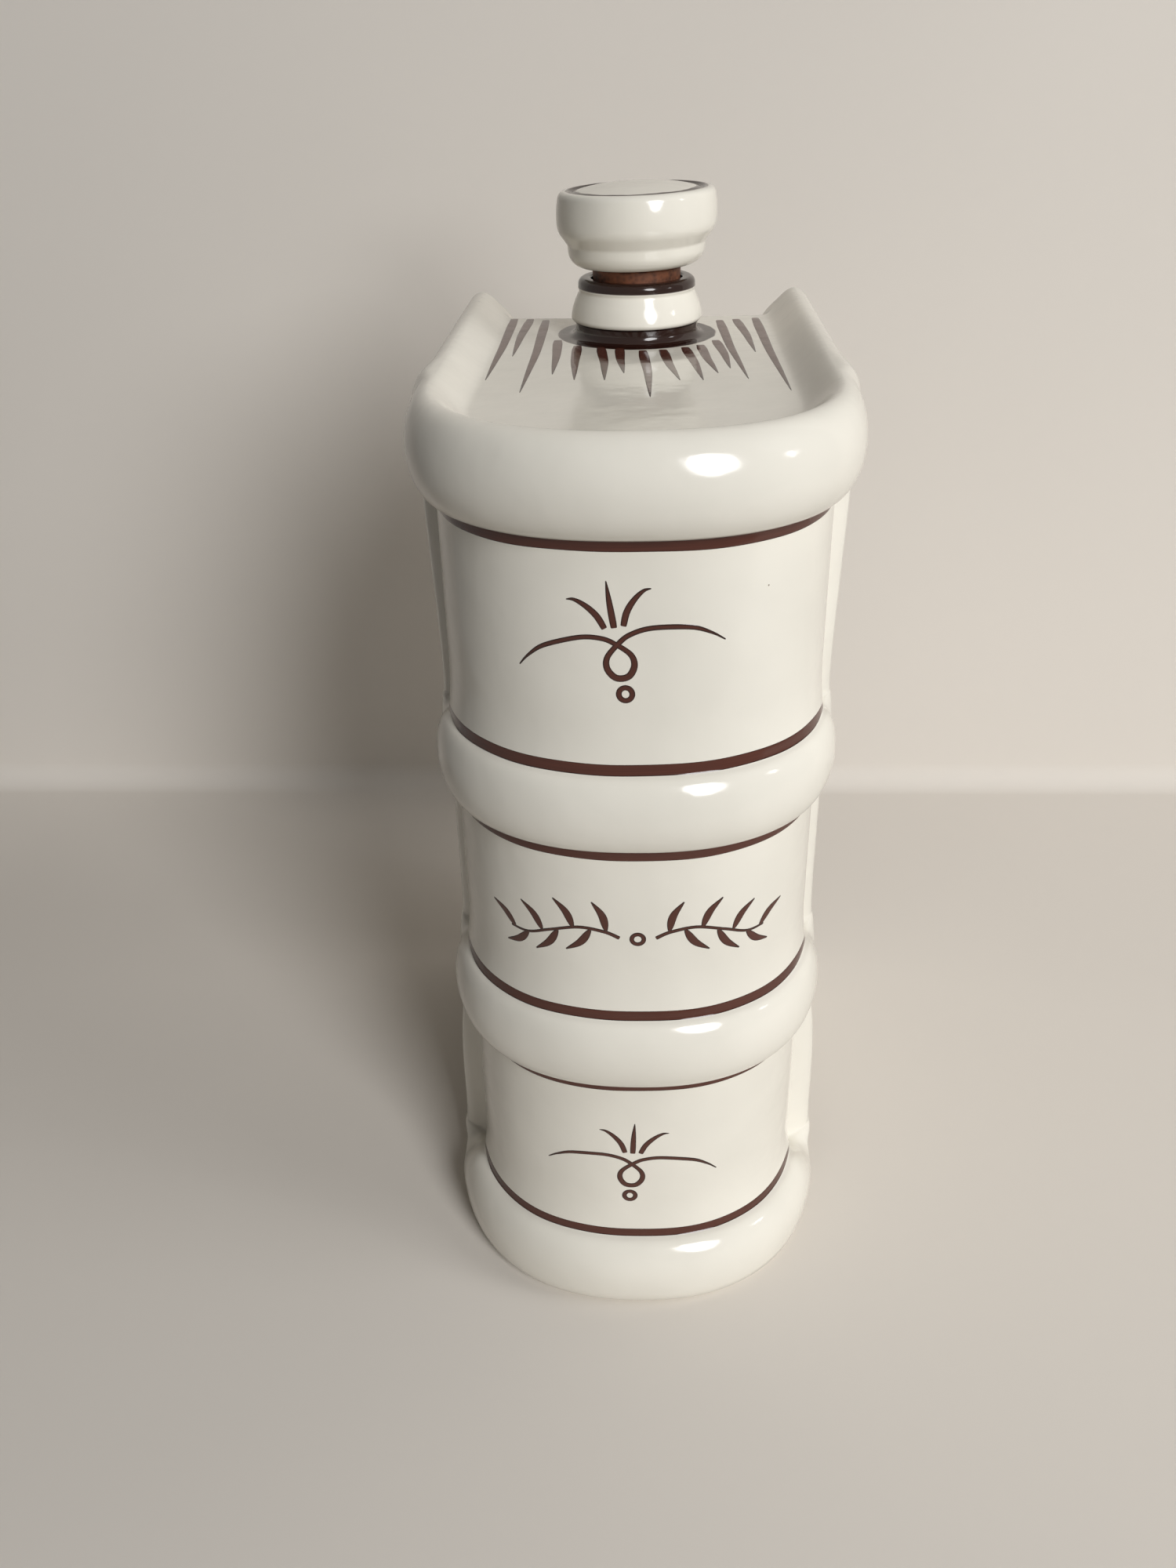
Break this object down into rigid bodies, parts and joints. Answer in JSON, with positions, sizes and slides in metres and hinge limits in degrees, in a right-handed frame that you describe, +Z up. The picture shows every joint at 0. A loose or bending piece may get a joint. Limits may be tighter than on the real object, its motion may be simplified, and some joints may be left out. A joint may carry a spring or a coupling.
{
  "type": "porcelain spirit bottle",
  "caption": "Glazed porcelain spirit bottle in the form of an upright closed book with raised bands on a rounded spine, an off-centre neck and a knob glued on a cork.",
  "frame": {"origin": "on the table under the middle of the bottle's outline", "axes": "+Z up along the neck, the rounded spine looks towards -Y, the boards face +X and -X"},
  "size_m": [0.0776, 0.12, 0.2027],
  "materials": {
    "glazed_porcelain": "glossy clear glaze over white porcelain, with painted brown lines and ornaments",
    "natural_cork": "matt, fine-grained, dark with age",
    "glazed_knob_porcelain": "glossy clear glaze over white porcelain, with a painted brown ring"
  },
  "bodies": {
    "bottle": {"bottle_body": "glazed_porcelain"},
    "stopper": {"stopper_cork": "natural_cork", "stopper_knob": "glazed_knob_porcelain"}
  },
  "joints": [
    {"name": "stopper_lift", "type": "slide", "parent": "bottle", "child": "stopper", "axis": [0, 0, 1], "range_m": [0, 0.06]}
  ]
}
